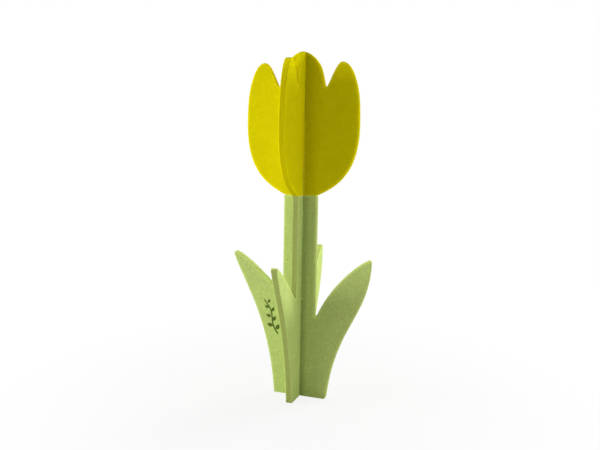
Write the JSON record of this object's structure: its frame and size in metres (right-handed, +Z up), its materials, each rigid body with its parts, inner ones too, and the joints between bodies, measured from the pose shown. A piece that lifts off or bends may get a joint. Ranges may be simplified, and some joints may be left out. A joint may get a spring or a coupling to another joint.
{
  "type": "felt tulip ornament",
  "caption": "Standing felt tulip made of flat cut-outs that slot together crosswise: a leafy green stem with a yellow bloom on top.",
  "frame": {"origin": "on the table, under the line where the panels cross", "axes": "+Z up; X along the panels that face the viewer, with the wide leaf at +X; the viewer is at -Y, and the crossed panels run along Y with their wide leaf at +Y"},
  "size_m": [0.0935, 0.0935, 0.2249],
  "materials": {
    "green_felt": "matt dyed felt",
    "yellow_felt": "matt dyed felt"
  },
  "bodies": {
    "stem_across": {"stem_panel_across": "green_felt"},
    "stem_fore_and_aft": {"stem_panel_fore_and_aft": "green_felt"},
    "bloom_fore_and_aft": {"bloom_panel_fore_and_aft": "yellow_felt"},
    "bloom_across": {"bloom_panel_across": "yellow_felt"}
  },
  "joints": [
    {"name": "stem_lap", "type": "slide", "parent": "stem_across", "child": "stem_fore_and_aft", "axis": [0, 0, 1], "range_m": [0, 0.0675]},
    {"name": "bloom_tongue", "type": "slide", "parent": "stem_fore_and_aft", "child": "bloom_fore_and_aft", "axis": [0, 0, 1], "range_m": [0, 0.03]},
    {"name": "bloom_lap", "type": "slide", "parent": "bloom_fore_and_aft", "child": "bloom_across", "axis": [0, 0, 1], "range_m": [0, 0.045]}
  ]
}
